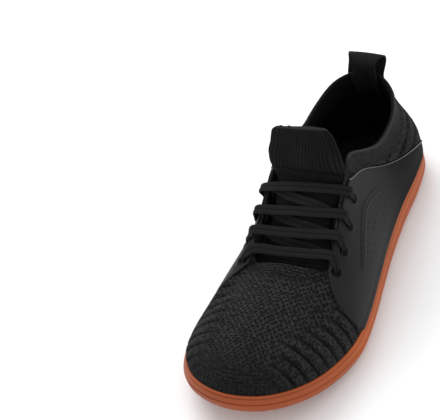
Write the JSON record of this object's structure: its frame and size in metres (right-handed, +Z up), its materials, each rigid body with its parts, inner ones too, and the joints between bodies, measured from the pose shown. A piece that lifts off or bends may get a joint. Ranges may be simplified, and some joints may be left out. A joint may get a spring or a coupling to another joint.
{
  "type": "barefoot shoe",
  "caption": "Low barefoot shoe with a hollow knit upper, lace-up throat, standing tongue flap, heel pull loop and a thin flexible one-piece rubber cup sole.",
  "frame": {"origin": "centre of the bounding box at its base, on the floor under the middle of the sole", "axes": "+Z up, +Y towards the heel and -Y towards the toe, +X towards the lateral (outer) side of this left shoe"},
  "size_m": [0.0996, 0.283, 0.111],
  "materials": {
    "outsole": "satin gum rubber",
    "insole": "matte textile",
    "upper": "matte knit",
    "tongue": "matte ribbed knit",
    "overlay": "matte synthetic leather",
    "pull_loop": "matte webbing",
    "laces": "matte flat woven lace"
  },
  "bodies": {
    "root": {"outsole": "outsole", "insole": "insole", "upper": "upper", "tongue": "tongue", "overlay_lateral": "overlay", "overlay_medial": "overlay", "pull_loop": "pull_loop", "laces": "laces"}
  },
  "joints": []
}
